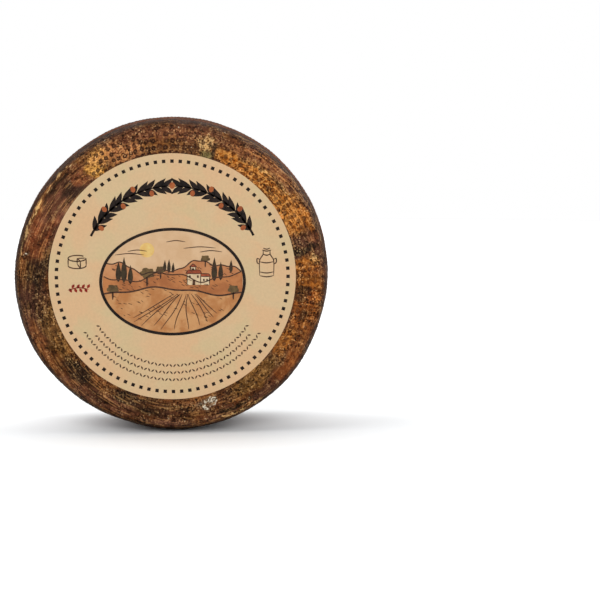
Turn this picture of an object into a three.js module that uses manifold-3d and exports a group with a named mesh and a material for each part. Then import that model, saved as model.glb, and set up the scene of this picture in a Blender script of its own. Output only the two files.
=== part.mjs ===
// A whole wheel of semi-aged cheese that stands on its rim, with a round paper label on its front face.
// Millimetres, +Z up. The wheel's axis is Y, its front face looks towards -Y, and it rests on z = 0 on the
// small flat that its own weight presses into the rim. The origin is the middle of the footprint.
import * as THREE from "three";
import { mergeVertices } from "three/addons/utils/BufferGeometryUtils.js";
import Module from "manifold-3d";

const WHEEL_DIAMETER = 200; // across the bulge of the side
const WHEEL_HEIGHT = 90; // from the front lip to the back face
const LABEL_DIAMETER = 155;
const LABEL_THICKNESS = 0.4;
const LABEL_GAP = 0.3; // glue line between the paper and the rind

// The front face is flat up to where it starts to turn over, and a thin lip from the mould stands round it.
const FACE_RADIUS = 87.5;
const FACE_SINK = 0.9; // how far the front face lies behind the lip's top
const LIP_RADIUS = 94.8;
const LIP_WIDTH = 1.9;
const LIP_HEIGHT = 1.5;
const GROOVE_RADIUS = 91.2; // the shallow groove just inside the lip
const GROOVE_WIDTH = 2.2;
const GROOVE_DEPTH = 0.7;
const FRONT_SHOULDER_RADIUS = 98.2; // where the front shoulder meets the side
const FRONT_SHOULDER_DEPTH = 10; // measured back from the front face
const BACK_SHOULDER_RADIUS = 97.6;
const BACK_SHOULDER_DEPTH = 16; // measured forward from the back face
const BACK_FACE_RADIUS = 81;
const SIDE_SLOPE = 0.1; // how fast the side widens behind the front shoulder

const FOOT_SINK = 1.0; // how much of the round rim the flat foot takes away
const SEGMENTS = 96; // facets round the wheel
const CORNER_STEPS = 7;
const SIDE_STEPS = 9;
const FACE_RINGS = [0, 30, 58, 80];

// The outline departs from a circle by slow waves round the rim: waves per turn, height and phase in degrees.
const OUT_OF_ROUND = [
  { waves: 2, height: 0.4, phase: 53 },
  { waves: 3, height: 0.5, phase: -152 },
  { waves: 4, height: 0.2, phase: 63 },
];
// Hollows and swells of the rind: height, wavelength, direction and phase in degrees.
const SWELLS = [
  { height: 0.45, length: 71, way: [0.8, 0.35, 0.49], phase: 20 },
  { height: 0.4, length: 47, way: [-0.45, 0.2, 0.87], phase: 140 },
  { height: 0.3, length: 31, way: [0.62, -0.7, 0.35], phase: 250 },
];
const SWELL_START = 79; // the face stays flat under the label up to here
const SWELL_FULL = 88;
const SWELL_OUT = 0.3; // share of a swell that moves the rim in or out
const SWELL_ALONG = 0.5; // share that moves the faces along the axis
// Where the lip stands tallest, as clock angles in degrees anticlockwise from the right, with each one's reach.
const LIP_HEIGHTS = [
  { angle: 150, reach: 34, share: 1 },
  { angle: 288, reach: 44, share: 0.9 },
  { angle: 55, reach: 30, share: 0.25 },
];
const LIP_LEAST = 0.3; // the lip's height elsewhere, as a share

const BULGE_RADIUS = WHEEL_DIAMETER / 2;
const FRONT_LIP = -WHEEL_HEIGHT / 2;
const FRONT_FACE = FRONT_LIP + FACE_SINK;
const BACK_FACE = WHEEL_HEIGHT / 2;
const CENTRE_HEIGHT = BULGE_RADIUS - FOOT_SINK;
const SIDE_REACH = 0.6 * BACK_FACE; // the side proper ends here and the shoulders begin

const wasm = await Module();
wasm.setup();

function degrees(angle) {
  return THREE.MathUtils.degToRad(angle);
}

function bell(offset, width) {
  return Math.exp(-((offset / width) ** 2));
}

// The wheel's half section, from the middle of the front face over the rim to the middle of the back face.
// x is the distance from the axis and y the place along it.
function halfSection() {
  const frontShoulder = FRONT_FACE + FRONT_SHOULDER_DEPTH;
  const backShoulder = BACK_FACE - BACK_SHOULDER_DEPTH;
  const frontCorner = FRONT_SHOULDER_RADIUS - SIDE_SLOPE * FRONT_SHOULDER_DEPTH;
  // A quadratic curve reaches halfway to its control point, so that point lies twice as far out as the bulge.
  const meanShoulder = (FRONT_SHOULDER_RADIUS + BACK_SHOULDER_RADIUS) / 2;
  const sideControl = 2 * BULGE_RADIUS - meanShoulder;
  const sideMiddle = frontShoulder + (sideControl - FRONT_SHOULDER_RADIUS) / SIDE_SLOPE;
  const backSlope = (sideControl - BACK_SHOULDER_RADIUS) / (backShoulder - sideMiddle);
  const backCorner = BACK_SHOULDER_RADIUS - backSlope * BACK_SHOULDER_DEPTH;

  const place = (radius, along) => new THREE.Vector2(radius, along);
  const curve = (from, control, to, steps) =>
    new THREE.QuadraticBezierCurve(from, control, to).getPoints(steps).slice(1);
  const faceEdge = place(FACE_RADIUS, FRONT_FACE);
  const frontEnd = place(FRONT_SHOULDER_RADIUS, frontShoulder);
  const backStart = place(BACK_SHOULDER_RADIUS, backShoulder);
  const backEdge = place(BACK_FACE_RADIUS, BACK_FACE);
  return [
    ...FACE_RINGS.map((radius) => place(radius, FRONT_FACE)),
    faceEdge,
    ...curve(faceEdge, place(frontCorner, FRONT_FACE), frontEnd, 2 * CORNER_STEPS),
    ...curve(frontEnd, place(sideControl, sideMiddle), backStart, SIDE_STEPS),
    ...curve(backStart, place(backCorner, BACK_FACE), backEdge, CORNER_STEPS),
    ...FACE_RINGS.toReversed().slice(1).map((radius) => place(radius, BACK_FACE)),
  ];
}

// How tall the lip stands at an angle round the face, as a share of its full height.
function lipShare(angle) {
  const turn = THREE.MathUtils.radToDeg(angle);
  const rise = LIP_HEIGHTS.reduce((sum, part) => {
    const away = THREE.MathUtils.euclideanModulo(turn - part.angle + 180, 360) - 180;
    return sum + part.share * bell(away, part.reach);
  }, 0);
  return Math.min(1, LIP_LEAST + rise);
}

// Moves a point of the smooth wheel to where the hand-made one has it.
function shapeRind(point) {
  const radius = Math.hypot(point.x, point.z);
  const angle = Math.atan2(point.z, point.x);
  const loose = THREE.MathUtils.smoothstep(radius, SWELL_START, SWELL_FULL);
  const offFace = THREE.MathUtils.smoothstep(Math.abs(point.y), SIDE_REACH, BACK_FACE);

  const outline = OUT_OF_ROUND.reduce(
    (sum, wave) => sum + wave.height * Math.cos(wave.waves * angle - degrees(wave.phase)), 0);
  const swell = SWELLS.reduce((sum, wave) => {
    const along = point.dot(new THREE.Vector3(...wave.way).normalize());
    return sum + wave.height * Math.sin((2 * Math.PI * along) / wave.length + degrees(wave.phase));
  }, 0);
  const frontOnly = point.y < 0 ? 1 : 0;
  const lip = LIP_HEIGHT * lipShare(angle) * bell(radius - LIP_RADIUS, LIP_WIDTH);
  const groove = GROOVE_DEPTH * bell(radius - GROOVE_RADIUS, GROOVE_WIDTH);

  const grow = 1 + (loose * (outline + SWELL_OUT * swell)) / BULGE_RADIUS;
  const along = Math.sign(point.y) * offFace * loose * SWELL_ALONG * swell;
  point.set(point.x * grow, point.y + along - frontOnly * offFace * (lip - groove), point.z * grow);
  return point;
}

function solidOf(geometry) {
  const bare = new THREE.BufferGeometry();
  bare.setAttribute("position", geometry.getAttribute("position"));
  bare.setIndex(geometry.getIndex());
  const merged = mergeVertices(bare, 1e-3);
  return new wasm.Manifold(new wasm.Mesh({
    numProp: 3,
    vertProperties: merged.getAttribute("position").array,
    triVerts: new Uint32Array(merged.getIndex().array),
  }));
}

function geometryOf(solid) {
  const { vertProperties, triVerts } = solid.getMesh();
  const shared = new THREE.BufferGeometry();
  shared.setAttribute("position", new THREE.BufferAttribute(vertProperties, 3));
  shared.setIndex(new THREE.BufferAttribute(triVerts, 1));
  const faceted = shared.toNonIndexed();
  faceted.computeVertexNormals();
  return faceted;
}

// Everything below the table top, as a block that the rim is cut with.
function floorBlock() {
  const size = 2 * WHEEL_DIAMETER;
  return new THREE.BoxGeometry(size, size, size).translate(0, 0, -size / 2);
}

function cheeseWheel() {
  const smooth = new THREE.LatheGeometry(halfSection(), SEGMENTS);
  const places = smooth.getAttribute("position");
  const point = new THREE.Vector3();
  for (let i = 0; i < places.count; i++) {
    shapeRind(point.fromBufferAttribute(places, i));
    places.setXYZ(i, point.x, point.y, point.z + CENTRE_HEIGHT);
  }
  const standing = solidOf(smooth).subtract(solidOf(floorBlock()));
  const rind = new THREE.MeshStandardMaterial({ color: 0x6a4326, roughness: 0.5, metalness: 0 });
  const mesh = new THREE.Mesh(geometryOf(standing), rind);
  mesh.name = "cheese_wheel";
  return mesh;
}

function paperLabel() {
  const disc = new THREE.CylinderGeometry(LABEL_DIAMETER / 2, LABEL_DIAMETER / 2, LABEL_THICKNESS, SEGMENTS);
  const paper = new THREE.MeshStandardMaterial({ color: 0xd9be92, roughness: 0.6, metalness: 0 });
  const mesh = new THREE.Mesh(disc, paper);
  mesh.name = "paper_label";
  mesh.position.set(0, FRONT_FACE - LABEL_GAP - LABEL_THICKNESS / 2, CENTRE_HEIGHT);
  return mesh;
}

// The uneven rim leaves the wheel a little off its axis, so both pieces move until its outline is centred.
const cheese = new THREE.Group();
cheese.add(cheeseWheel(), paperLabel());
const middle = new THREE.Box3().setFromObject(cheese).getCenter(new THREE.Vector3());
for (const piece of cheese.children) {
  piece.position.x -= middle.x;
  piece.position.y -= middle.y;
}
export default cheese;
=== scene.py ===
import itertools
import math

import bmesh
import bpy
import numpy as np
from mathutils import Matrix, Vector


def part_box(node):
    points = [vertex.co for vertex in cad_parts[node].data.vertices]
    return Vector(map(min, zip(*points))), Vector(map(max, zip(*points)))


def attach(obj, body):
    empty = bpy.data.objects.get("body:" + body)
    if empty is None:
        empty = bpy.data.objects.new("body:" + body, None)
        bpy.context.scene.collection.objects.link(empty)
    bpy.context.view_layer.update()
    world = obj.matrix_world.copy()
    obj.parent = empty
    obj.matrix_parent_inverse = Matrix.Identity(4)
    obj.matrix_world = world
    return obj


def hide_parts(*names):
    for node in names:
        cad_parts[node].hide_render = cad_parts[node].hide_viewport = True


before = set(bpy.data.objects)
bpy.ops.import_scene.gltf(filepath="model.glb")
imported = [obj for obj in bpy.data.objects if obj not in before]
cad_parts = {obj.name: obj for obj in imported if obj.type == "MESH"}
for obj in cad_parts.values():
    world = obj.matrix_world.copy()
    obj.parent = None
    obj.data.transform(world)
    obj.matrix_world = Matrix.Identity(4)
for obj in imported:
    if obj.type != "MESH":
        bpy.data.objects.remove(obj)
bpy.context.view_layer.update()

MM = 0.001

# --- Sizes of the wheel in millimetres, as in the part's own source ---

BULGE_RADIUS = 100.0
FRONT_FACE = -44.1
BACK_FACE = 45.0
FACE_RADIUS = 87.5
LIP_RADIUS, LIP_WIDTH, LIP_HEIGHT = 94.8, 1.9, 1.5
GROOVE_RADIUS, GROOVE_WIDTH, GROOVE_DEPTH = 91.2, 2.2, 0.7
FRONT_SHOULDER, BACK_SHOULDER = (98.2, 10.0), (97.6, 16.0)  # where each meets the side: radius, depth
BACK_FACE_RADIUS = 81.0
SIDE_SLOPE = 0.1
OUT_OF_ROUND = [(2, 0.4, 53), (3, 0.5, -152), (4, 0.2, 63)]  # waves a turn, height, phase
SWELLS = [  # height, wavelength, direction, phase
    (0.45, 71, (0.8, 0.35, 0.49), 20),
    (0.4, 47, (-0.45, 0.2, 0.87), 140),
    (0.3, 31, (0.62, -0.7, 0.35), 250),
]
SWELL_START, SWELL_FULL = 79.0, 88.0
SWELL_OUT, SWELL_ALONG = 0.3, 0.5
SIDE_REACH = 0.6 * BACK_FACE  # the side proper ends here and the shoulders begin
LIP_HEIGHTS = [(150, 34, 1.0), (288, 44, 0.9), (55, 30, 0.25)]  # angle, reach, share
LIP_LEAST = 0.3

LABEL_RADIUS = 77.4  # distances along the skin are counted from the label's edge
LABEL_GAP = 0.3  # glue line between the paper and the rind

label_low, label_high = (np.array(corner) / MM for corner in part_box("paper_label"))
AXIS_X = (label_low[0] + label_high[0]) / 2
AXIS_Z = (label_low[2] + label_high[2]) / 2
PAPER_FRONT = label_low[1]
PAPER_BACK = label_high[1]
WHEEL_SHIFT = PAPER_BACK + LABEL_GAP - FRONT_FACE  # how far along Y centring moved the wheel

# --- The skin's mesh ---

SKIN_STEPS = 544  # facets round the wheel, four to each dimple of the mould
SKIN_DOUBLINGS = 4
DIMPLES_ROUND = SKIN_STEPS // 4
FACE_ROWS = [0, 24, 48, 64]  # the plain rows under the label
UNDER_LABEL = 5  # the fine rows start this far inside the label's edge
ROW = 1.05  # distance between rows of the skin that carry relief
DIMPLE_PITCH = 4 * ROW  # from one ring of dimples to the next
STAGGER_FROM = 24.1  # past this distance along the skin every other ring is staggered
BACK_REACH, BACK_ROW = 56, 2.6  # how far from the back's middle its coarser rows start, and their distance
LAST_ROW = 4  # from the last ring to the back's middle


def rise(value, low, high):
    """0 below low, 1 above high and smooth between them."""
    share = np.clip((value - low) / (high - low), 0, 1)
    return share * share * (3 - 2 * share)


def bell(offset, width):
    return np.exp(-((offset / width) ** 2))


def off_by(angle, other):
    """How far an angle is from another, -180 to 180 degrees."""
    return (angle - other + 180) % 360 - 180


def bend(start, control, end, steps=200):
    """Points of a quadratic curve, without its start."""
    t = np.linspace(0, 1, steps + 1)[1:, None]
    return (1 - t) ** 2 * np.array(start) + 2 * t * (1 - t) * np.array(control) + t * t * np.array(end)


def half_section():
    """The wheel's outline from the middle of the front face to the middle of the back face."""
    (front_radius, front_depth), (back_radius, back_depth) = FRONT_SHOULDER, BACK_SHOULDER
    front, back = FRONT_FACE + front_depth, BACK_FACE - back_depth
    front_corner = front_radius - SIDE_SLOPE * front_depth
    side_control = 2 * BULGE_RADIUS - (front_radius + back_radius) / 2
    side_middle = front + (side_control - front_radius) / SIDE_SLOPE
    back_slope = (side_control - back_radius) / (back - side_middle)
    back_corner = back_radius - back_slope * back_depth
    front_end, back_start = (front_radius, front), (back_radius, back)
    return np.vstack([
        [(0, FRONT_FACE), (FACE_RADIUS, FRONT_FACE)],
        bend((FACE_RADIUS, FRONT_FACE), (front_corner, FRONT_FACE), front_end),
        bend(front_end, (side_control, side_middle), back_start),
        bend(back_start, (back_corner, BACK_FACE), (BACK_FACE_RADIUS, BACK_FACE)),
        [(0, BACK_FACE)],
    ])


def skin_rows():
    """Radius, place along the axis and distance along the skin of every row, from front to back."""
    outline = half_section()
    lengths = np.concatenate([[0], np.cumsum(np.hypot(*np.diff(outline, axis=0).T))])
    total = lengths[-1]
    coarse_from = total - BACK_REACH
    rows = np.concatenate([
        FACE_ROWS,
        np.arange(LABEL_RADIUS - UNDER_LABEL, coarse_from, ROW),
        np.arange(coarse_from, total - 2 * LAST_ROW, BACK_ROW),
        [total - LAST_ROW, total],
    ])
    radius, along = (np.interp(rows, lengths, outline[:, k]) for k in (0, 1))
    return radius, along, rows - LABEL_RADIUS


dice = np.random.RandomState(11)
SHUFFLE = dice.permutation(256)
SLOPES = dice.normal(size=(256, 3))
SLOPES /= np.linalg.norm(SLOPES, axis=1)[:, None]


def ripple(places):
    """Smooth noise of about -1 to 1 at each place, with one lump to each whole number."""
    cell = np.floor(places).astype(int)
    inside = places - cell
    ease = inside ** 3 * (inside * (inside * 6 - 15) + 10)
    total = 0
    for corner in itertools.product((0, 1), repeat=3):
        x, y, z = ((cell + corner) & 255).T
        slope = SLOPES[SHUFFLE[(SHUFFLE[(SHUFFLE[x] + y) & 255] + z) & 255]]
        weight = np.prod(np.where(corner, ease, 1 - ease), axis=1)
        total = total + weight * np.sum(slope * (inside - corner), axis=1)
    return 1.6 * total


def cloud(points, size, octaves=4, seed=0.0):
    """Fractal noise of about -1 to 1 at each point, for lumps of about that size."""
    shift = np.array((seed, 2.3 * seed, -1.7 * seed))
    return sum(ripple((points / size + shift) * 2.1 ** k) * 0.55 ** k for k in range(octaves))


def lip_share(turn):
    """How tall the lip stands at an angle round the face, as a share of its full height."""
    share = np.full_like(turn, LIP_LEAST)
    for angle, reach, height in LIP_HEIGHTS:
        share += height * bell(off_by(turn, angle), reach)
    return np.minimum(share, 1)


def shape_rind(points):
    """Moves points of the turned wheel to where the hand-made one has them."""
    x, y, z = points.T
    radius, angle = np.hypot(x, z), np.arctan2(z, x)
    loose = rise(radius, SWELL_START, SWELL_FULL)
    off_face = rise(np.abs(y), SIDE_REACH, BACK_FACE)
    outline = sum(h * np.cos(n * angle - math.radians(p)) for n, h, p in OUT_OF_ROUND)
    swell = 0
    for height, length, way, phase in SWELLS:
        along = points @ (np.array(way) / np.linalg.norm(way))
        swell = swell + height * np.sin(2 * np.pi * along / length + math.radians(phase))
    front = y < 0
    ragged = 1 + 0.35 * cloud(np.stack([x, z, 0 * x], 1), 6, 3, 4.0)
    lip = LIP_HEIGHT * ragged * lip_share(np.degrees(angle)) * bell(radius - LIP_RADIUS, LIP_WIDTH)
    groove = GROOVE_DEPTH * bell(radius - GROOVE_RADIUS, GROOVE_WIDTH)
    grow = 1 + loose * (outline + SWELL_OUT * swell) / BULGE_RADIUS
    shift = np.sign(y) * off_face * loose * SWELL_ALONG * swell - front * off_face * (lip - groove)
    return np.stack([x * grow, y + shift, z * grow], 1)


# --- Where the rind has which colour ---


def srgb(red, green, blue):
    """A paint of 0 to 255 as the numbers that Blender mixes."""
    return tuple(
        c / 12.92 if c <= 0.04045 else ((c + 0.055) / 1.055) ** 2.4
        for c in (red / 255, green / 255, blue / 255)
    )


DARK = srgb(58, 40, 33)
PURPLE_BROWN = srgb(100, 67, 56)
PLUM = srgb(128, 82, 62)
DUSKY = srgb(136, 93, 76)
TAWNY = srgb(138, 88, 54)
MAUVE = srgb(140, 88, 62)
BROWN = srgb(116, 73, 43)
LATTICE_TAN = srgb(168, 116, 80)
BLACK_PURPLE = srgb(62, 46, 44)
RED_BROWN = srgb(134, 78, 50)
ORANGE_BROWN = srgb(156, 91, 33)
GOLD = srgb(164, 102, 35)
PALE_GOLD = srgb(220, 180, 118)
OLIVE = srgb(132, 98, 50)
CREAM = srgb(240, 228, 204)
LEATHER_SIDE = srgb(146, 82, 36)
ORANGE_SIDE = srgb(184, 108, 42)
FADED_OLIVE = srgb(150, 146, 104)
RUSSET = srgb(150, 88, 44)
DULL_PLUM = srgb(116, 78, 62)
STRAW = srgb(208, 158, 86)
SAND = srgb(200, 150, 92)
SHADED = srgb(80, 54, 40)
BACK_BROWN = tuple(0.4 * dark + 0.6 * brown for dark, brown in zip(DARK, BROWN))

# Patches of the front ring: clock angle in degrees from the top, distance out from the label's edge, half
# length round the wheel and half width across the ring (all in mm but the angle), paint and strength.
PATCHES = [
    (5, 4, 22, 7, BROWN, 0.6),
    (9, 13, 26, 5, PLUM, 0.9),
    (14.5, 8, 4.2, 7, PALE_GOLD, 0.6),
    (15.5, 1.5, 4, 3, FADED_OLIVE, 0.7),
    (19, 5, 2, 7, DARK, 0.7),
    (26, 4.5, 8, 5, GOLD, 0.9),
    (28, 12.5, 14, 4, MAUVE, 0.9),
    (44, 4, 22, 7, GOLD, 0.86),
    (62, 6, 16, 9, GOLD, 0.86),
    (44, 15, 15, 3.5, MAUVE, 0.9),
    (40, 9.5, 8, 1.2, PALE_GOLD, 0.6),
    (52, 12, 9, 1.0, PALE_GOLD, 0.5),
    (66, 15, 10, 3, GOLD, 0.8),
    (74, 15, 4, 4, MAUVE, 0.8),
    (78.5, 6, 3.4, 9, DARK, 0.85),
    (86, 7, 7, 9, GOLD, 0.8),
    (84, 13, 4, 3, PALE_GOLD, 0.5),
    (100, 9, 22, 10, ORANGE_BROWN, 0.8),
    (97.5, 5, 4, 7, DARK, 0.6),
    (93, 8, 4, 9, GOLD, 0.6),
    (108, 9, 4, 3, DARK, 0.6),
    (120, 4, 10, 6, GOLD, 0.7),
    (124, 14, 22, 4.5, RUSSET, 0.8),
    (140, 5, 22, 6, OLIVE, 0.7),
    (152, 18.6, 22, 1.2, PALE_GOLD, 0.6),
    # A thin dark line in the groove under the lip: painted shade.
    (155, 14.5, 14, 1.6, DARK, 0.8),
    (163.5, 5.8, 3.9, 1.8, CREAM, 1.5),
    (165.8, 4.7, 5.0, 1.6, CREAM, 1.5),
    (167.5, 6.2, 1.8, 2.8, CREAM, 1.5),
    (172, 8, 20, 8, BROWN, 0.6),
    (195, 7, 24, 8, DARK, 0.45),
    (204, 8, 6, 3.5, DARK, 0.9),
    (207, 13, 20, 5, DULL_PLUM, 0.9),
    (215, 3, 6, 3.5, TAWNY, 0.8),
    (225, 7, 14, 6, DARK, 0.8),
    (243, 5, 18, 6, OLIVE, 0.6),
    (243, 15, 18, 4, TAWNY, 0.7),
    (257, 4, 9, 5, OLIVE, 0.7),
    (262, 9, 14, 8, PURPLE_BROWN, 0.7),
    (275, 6, 14, 7, DARK, 0.75),
    (280.5, 15.5, 1.1, 1.3, CREAM, 0.8),
    (291, 9, 20, 8, RED_BROWN, 0.9),
    (289, 18.9, 24, 0.9, PALE_GOLD, 0.62),
    (305, 9, 22, 8, DUSKY, 0.8),
    (312, 5, 11, 6, BLACK_PURPLE, 0.7),
    # A thin dark line in the groove under the lip: painted shade.
    (308, 15.5, 20, 1.3, DARK, 0.5),
    (306, 18.8, 26, 0.9, PALE_GOLD, 0.62),
    (319, 9, 7, 8, MAUVE, 0.9),
    (324.5, 5, 5.5, 7, STRAW, 1.0),
    (329, 12, 7, 5, SAND, 1.0),
    (337, 8, 14, 9, LATTICE_TAN, 0.9),
    (354, 4, 12, 6, BROWN, 0.7),
    (350, 14, 22, 4.5, PLUM, 0.9),
]
# Paints that lie on as crisp crusts: gold, dark and pale ones, and the cream smear. The dark paint also
# draws painted shade in the groove under the lip.
CRUSTS = ((GOLD, ORANGE_BROWN, LATTICE_TAN), (DARK, BLACK_PURPLE), (PALE_GOLD,), (CREAM,))
THIN_PAINTS, THIN = (PALE_GOLD, CREAM), 0.55  # these tint the ground under them less
PATCH_EDGE = (0.62, 1.25)  # a patch fades out between these shares of its size
WARP = 3.2  # how far the patches' edges wander
FACE_END = 26  # where the face's look ends and the side's begins


def patch_share(clock, depth, patch):
    """How much of a patch covers each place, 1 in its middle and 0 well outside."""
    turn, out, half_along, half_across, _, strength = patch
    around = np.radians(off_by(clock, turn)) * (LABEL_RADIUS + out)
    reach = np.sqrt((around / half_along) ** 2 + ((depth - out) / half_across) ** 2)
    return np.minimum(strength * (1 - rise(reach, *PATCH_EDGE)), 1)


def lay_on(tone, *coats):
    """A tone under coats of paint, each with its share at every point."""
    for paint, share in coats:
        tone = tone + (np.array(paint) - tone) * share[:, None]
    return tone


def near(clock, turn, reach):
    """1 at a clock angle of the rim, fading within some degrees of it."""
    return bell(off_by(clock, turn), reach)


def between(value, start, end):
    """1 between two soft edges and 0 outside them."""
    return rise(value, *start) * (1 - rise(value, *end))


def wound(angle, depth, slow=1):
    """Places for noise that is drawn out round the wheel that many times."""
    return np.stack([np.cos(angle) * BULGE_RADIUS / slow, np.sin(angle) * BULGE_RADIUS / slow, depth], 1)


def bark_lumps(points):
    return cloud(points * (1, 1, 0.3), 5, 4, 16.0)


def paint_rind(points, depth):
    """Each point's base colour, its marks, and its cover of gold, dark, pale and cream crust."""
    x, _, z = points.T
    angle = np.arctan2(z, x)
    clock = (90 - np.degrees(angle)) % 360
    clock_here = clock + np.degrees(WARP * cloud(points, 9, 4, 1.0) / LABEL_RADIUS)
    depth_here = depth + 0.6 * WARP * cloud(points, 7, 4, 2.0)
    on_side = between(depth_here, (FACE_END, 38), (96, 108))
    on_back = rise(depth_here, 98, 112)

    grain = cloud(wound(angle, depth, 6), 3.5, 5, 3.0)
    blotch = cloud(points, 26, 4, 5.0)
    wide = cloud(points, 38, 4, 12.0)
    bands = cloud(wound(angle, depth + 3 * cloud(points, 45, 2, 15.0), 11), 5, 4, 13.0)
    bark = bark_lumps(points)
    tone = lay_on(
        np.tile(np.array(PURPLE_BROWN), (len(points), 1)),
        (BROWN, rise(blotch, -0.3, 0.4)),
        (LEATHER_SIDE, on_side),
        (ORANGE_SIDE, 0.7 * on_side * rise(bands, 0.0, 0.6)),
        (PURPLE_BROWN, 0.75 * on_side * rise(-bands, 0.05, 0.6)),
        (DARK, 0.7 * on_side * rise(blotch, 0.25, 0.6)),
        (BACK_BROWN, on_back),
        (DUSKY, 0.5 * on_back * rise(blotch, 0.1, 0.5)),
        (OLIVE, 0.7 * on_back * rise(wide, -0.1, 0.6)),
    )
    cover = np.zeros((len(points), len(CRUSTS)))
    cover[:, 0] = on_back * (0.45 * rise(wide, -0.1, 0.6) + 0.35 * rise(bark, 0.1, 0.6))
    cover[:, 1] = on_back * 0.5 * rise(-bark, 0.0, 0.6)
    for patch in PATCHES:
        paint = patch[4]
        share = patch_share(clock_here, depth_here, patch)
        tone = lay_on(tone, (paint, share * (THIN if paint in THIN_PAINTS else 1)))
        cover *= 1 - share[:, None]
        for kind, paints in enumerate(CRUSTS):
            if paint in paints:
                cover[:, kind] += share
    shoulder = rise(depth, 18.5, 22) * (1 - rise(depth_here, 24, 34))
    tone = lay_on(tone, (SHADED, 0.6 * shoulder))

    # Soft streaks: along the rim at the lower left and the upper left, across it at the right.
    streaky = 0.6 * grain * (0.3 + near(clock, 205, 50) + near(clock, 300, 24))
    streaky = streaky + 0.6 * near(clock, 98, 16) * cloud(wound(angle, 0.15 * depth), 4, 3, 9.0)
    streaky = streaky * (1 - 0.4 * on_side - 0.9 * on_back)
    uneven = (0.26 - 0.12 * near(clock, 300, 26) - 0.12 * on_side) * cloud(points, 11, 4, 8.0)
    tone = tone * (1 + uneven + streaky + 0.4 * on_back * bark)[:, None].clip(0.3, 2)
    return tone, rind_marks(clock, depth, depth_here, on_side, on_back, wide, tone), cover


def rind_marks(clock, depth, depth_here, on_side, on_back, wide, tone):
    """How strongly each point shows dimples, streaks and the mould's net, and how smooth it is."""
    on_face = depth < FACE_END
    golden = rise(tone[:, 0] - tone[:, 2], 0.1, 0.32)
    near_label = 1 - rise(depth_here, 9, 16)
    outer = rise(depth_here, 7, 10) * (depth < 20)

    smooth = near(clock, 306, 13) + 0.7 * near(clock, 287, 11)
    smooth = smooth + outer * (0.8 * near(clock, 222, 30) + 0.8 * near(clock, 131, 10))
    smooth = np.clip(smooth, 0, 1) * (depth < 22)
    dimples = np.clip(0.1 + 0.5 * golden + 0.9 * near(clock, 348, 22) * near_label, 0, 1)
    faded = 0.35 + 0.65 * rise(wide, -0.5, 0.1)
    dimples = np.where(depth > FACE_END, (0.35 + 0.65 * on_side - 0.35 * on_back) * faded, dimples)
    dimples = dimples * (1 - 0.9 * smooth)
    smooth = np.maximum(smooth, 0.8 * rise(depth, 20, 25) * (1 - on_back))

    streaks = 0.15 + 0.8 * near(clock, 55, 24) * on_face + 0.4 * near(clock, 200, 60)
    streaks = (streaks + 0.45 * near(clock, 300, 24) + 0.4 * on_side) * (1 - 0.8 * on_back)
    netted = near(clock, 46, 32) * near_label + near(clock, 328, 8) * on_face
    netted = np.clip(netted + 0.4 * near(clock, 118, 10) + 0.4 * on_back, 0, 1) * golden
    return np.stack([dimples, np.clip(streaks, 0, 1), netted, smooth], 1)


def fine_relief(points, depth):
    """How far the skin stands out from the smooth form, in mm."""
    angle = np.arctan2(points[:, 2], points[:, 0])
    on_side = between(depth, (FACE_END, 34), (98, 108))
    on_back = rise(depth, 98, 112)
    row = np.floor(depth / DIMPLE_PITCH + 0.5)
    staggered = np.where(depth > STAGGER_FROM, 0.5 * (row % 2), 0)
    around = 2 * np.pi * (angle / (2 * np.pi) * DIMPLES_ROUND + staggered)
    knobs = (0.5 + 0.5 * np.cos(around)) * (0.5 + 0.5 * np.cos(2 * np.pi * depth / DIMPLE_PITCH))
    worn = 0.16 * cloud(points, 10, 4, 6.0)
    lines = (1 - on_back) * 0.09 * cloud(wound(angle, depth, 5), 3.0, 3, 7.0)
    bark = 0.2 * on_back * bark_lumps(points)
    dimpled = (0.14 + 0.2 * on_side) * (1 - 0.8 * on_back) * (knobs - 0.25)
    return rise(depth, 0.5, 2.5) * (worn + lines + bark + dimpled)


def new_object(name, bm, material):
    mesh = bpy.data.meshes.new(name)
    bm.to_mesh(mesh)
    bm.free()
    mesh.materials.append(material)
    made = bpy.data.objects.new(name, mesh)
    bpy.context.scene.collection.objects.link(made)
    return made


def new_piece(name, bm, material, slot, *nodes):
    """A visible piece of the part, in the place of the named nodes if there are any."""
    piece = new_object(name, bm, material)
    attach(piece, "root")
    if nodes:
        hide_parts(*nodes)
    return piece


def turned_skin():
    """The wheel turned from its outline, with each vertex's distance along the skin kept on it."""
    bm = bmesh.new()
    travelled = bm.verts.layers.float.new("depth")
    line = []
    for radius, along, depth in zip(*skin_rows()):
        vertex = bm.verts.new((radius, along, 0))
        vertex[travelled] = depth
        line.append(vertex)
    edges = [bm.edges.new(pair) for pair in zip(line, line[1:])]
    # One sixteenth is spun, then doubled four times, which is far quicker than a full spin.
    share = 2 * math.pi / 2 ** SKIN_DOUBLINGS
    bmesh.ops.spin(
        bm, geom=line + edges, cent=(0, 0, 0), axis=(0, 1, 0), dvec=(0, 0, 0),
        angle=share, steps=SKIN_STEPS // 2 ** SKIN_DOUBLINGS, use_merge=False, use_duplicate=False,
    )
    for k in range(SKIN_DOUBLINGS):
        copied = bmesh.ops.duplicate(bm, geom=bm.verts[:] + bm.edges[:] + bm.faces[:])
        corners = [v for v in copied["geom"] if isinstance(v, bmesh.types.BMVert)]
        bmesh.ops.rotate(bm, verts=corners, cent=(0, 0, 0), matrix=Matrix.Rotation(share * 2 ** k, 3, "Y"))
    bmesh.ops.remove_doubles(bm, verts=bm.verts[:], dist=0.001)
    bmesh.ops.recalc_face_normals(bm, faces=bm.faces[:])
    return bm


def coordinates(mesh, what="co"):
    values = np.empty(3 * len(mesh.vertices))
    mesh.vertices.foreach_get(what, values)
    return values.reshape(-1, 3)


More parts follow.
